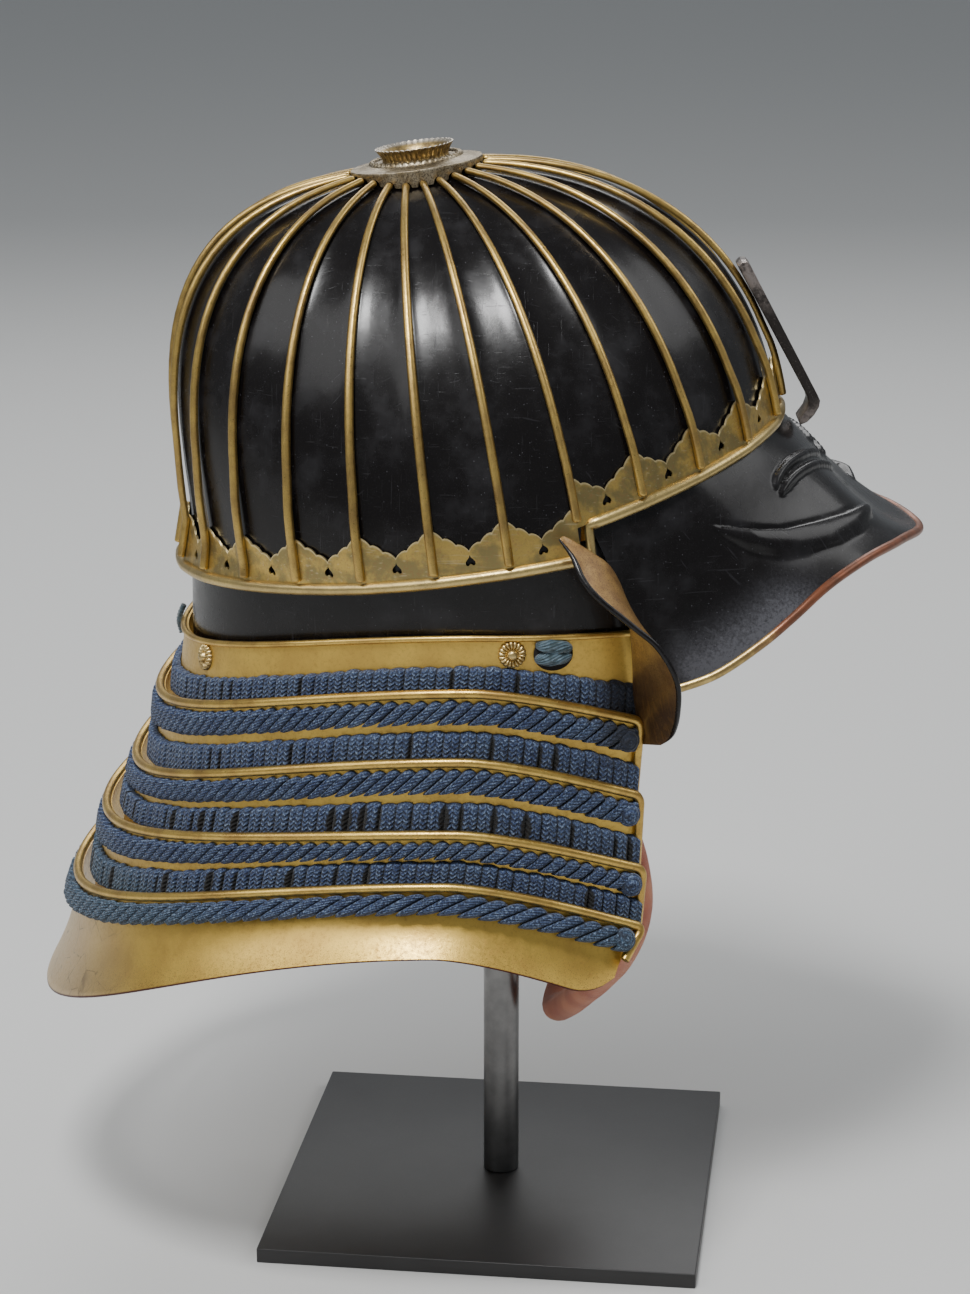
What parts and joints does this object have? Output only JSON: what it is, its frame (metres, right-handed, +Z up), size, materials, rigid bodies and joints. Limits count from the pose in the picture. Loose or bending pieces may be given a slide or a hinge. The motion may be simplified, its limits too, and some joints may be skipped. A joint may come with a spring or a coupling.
{
  "type": "kabuto samurai helmet on a post stand",
  "caption": "Ribbed black-lacquer samurai helmet with gilt ribs, blue-laced gold neck guard, visor and chin cord, on a plain post stand with a square base.",
  "frame": {"origin": "centre of the stand base's underside", "axes": "+X the way the helmet faces, +Y the wearer's left, +Z up along the post"},
  "size_m": [0.343, 0.292, 0.4237],
  "materials": {
    "black_lacquer": "deep gloss urushi lacquer over iron, faint scratches",
    "gilt_copper": "gilded copper, worn and slightly tarnished",
    "gold_lacquer": "gold leaf lacquer, fine crackle and dark specks",
    "aged_brass": "silvery aged brass with dark speckle",
    "dark_iron": "dark patinated iron, top worn bright",
    "indigo_lace": "plaited silk cord, indigo",
    "red_lacquer": "red-brown lacquer, worn to gilt",
    "brown_lacquer": "brown-gold lacquer, black edge line",
    "salmon_cord": "soft padded silk cord",
    "satin_black": "satin powder coat",
    "satin_steel": "satin dark steel"
  },
  "bodies": {
    "root": {"bowl_shell": "black_lacquer", "rib_00": "gilt_copper", "rib_01_right": "gilt_copper", "rib_01_left": "gilt_copper", "rib_02_right": "gilt_copper", "rib_02_left": "gilt_copper", "rib_03_right": "gilt_copper", "rib_03_left": "gilt_copper", "rib_04_right": "gilt_copper", "rib_04_left": "gilt_copper", "rib_05_right": "gilt_copper", "rib_05_left": "gilt_copper", "rib_06_right": "gilt_copper", "rib_06_left": "gilt_copper", "rib_07_right": "gilt_copper", "rib_07_left": "gilt_copper", "rib_08_right": "gilt_copper", "rib_08_left": "gilt_copper", "rib_09_right": "gilt_copper", "rib_09_left": "gilt_copper", "rib_10_right": "gilt_copper", "rib_10_left": "gilt_copper", "rib_11_right": "gilt_copper", "rib_11_left": "gilt_copper", "rib_12_right": "gilt_copper", "rib_12_left": "gilt_copper", "rib_13": "gilt_copper", "hem_band_front": "gilt_copper", "hem_band_rear": "gilt_copper", "waistband": "black_lacquer", "visor": "black_lacquer", "visor_rim": "red_lacquer", "crest_holder": "dark_iron", "crown_plate": "aged_brass", "crown_cup": "aged_brass", "lame_1": "gold_lacquer", "lame_2": "gold_lacquer", "lame_3": "gold_lacquer", "lame_4": "gold_lacquer", "lame_5": "gold_lacquer", "lace_upright_1": "indigo_lace", "lace_slanted_1": "indigo_lace", "lace_upright_2": "indigo_lace", "lace_slanted_2": "indigo_lace", "lace_upright_3": "indigo_lace", "lace_slanted_3": "indigo_lace", "lace_upright_4": "indigo_lace", "lace_slanted_4": "indigo_lace", "rosette_front_right": "gilt_copper", "rosette_front_left": "gilt_copper", "rosette_rear_right": "gilt_copper", "rosette_rear_left": "gilt_copper", "side_knot_right": "indigo_lace", "side_knot_left": "indigo_lace", "back_cord_loop": "indigo_lace", "ear_flap_right": "brown_lacquer", "ear_flap_left": "brown_lacquer", "chin_cord": "salmon_cord", "stand_base": "satin_black", "stand_post": "satin_steel"}
  },
  "joints": []
}
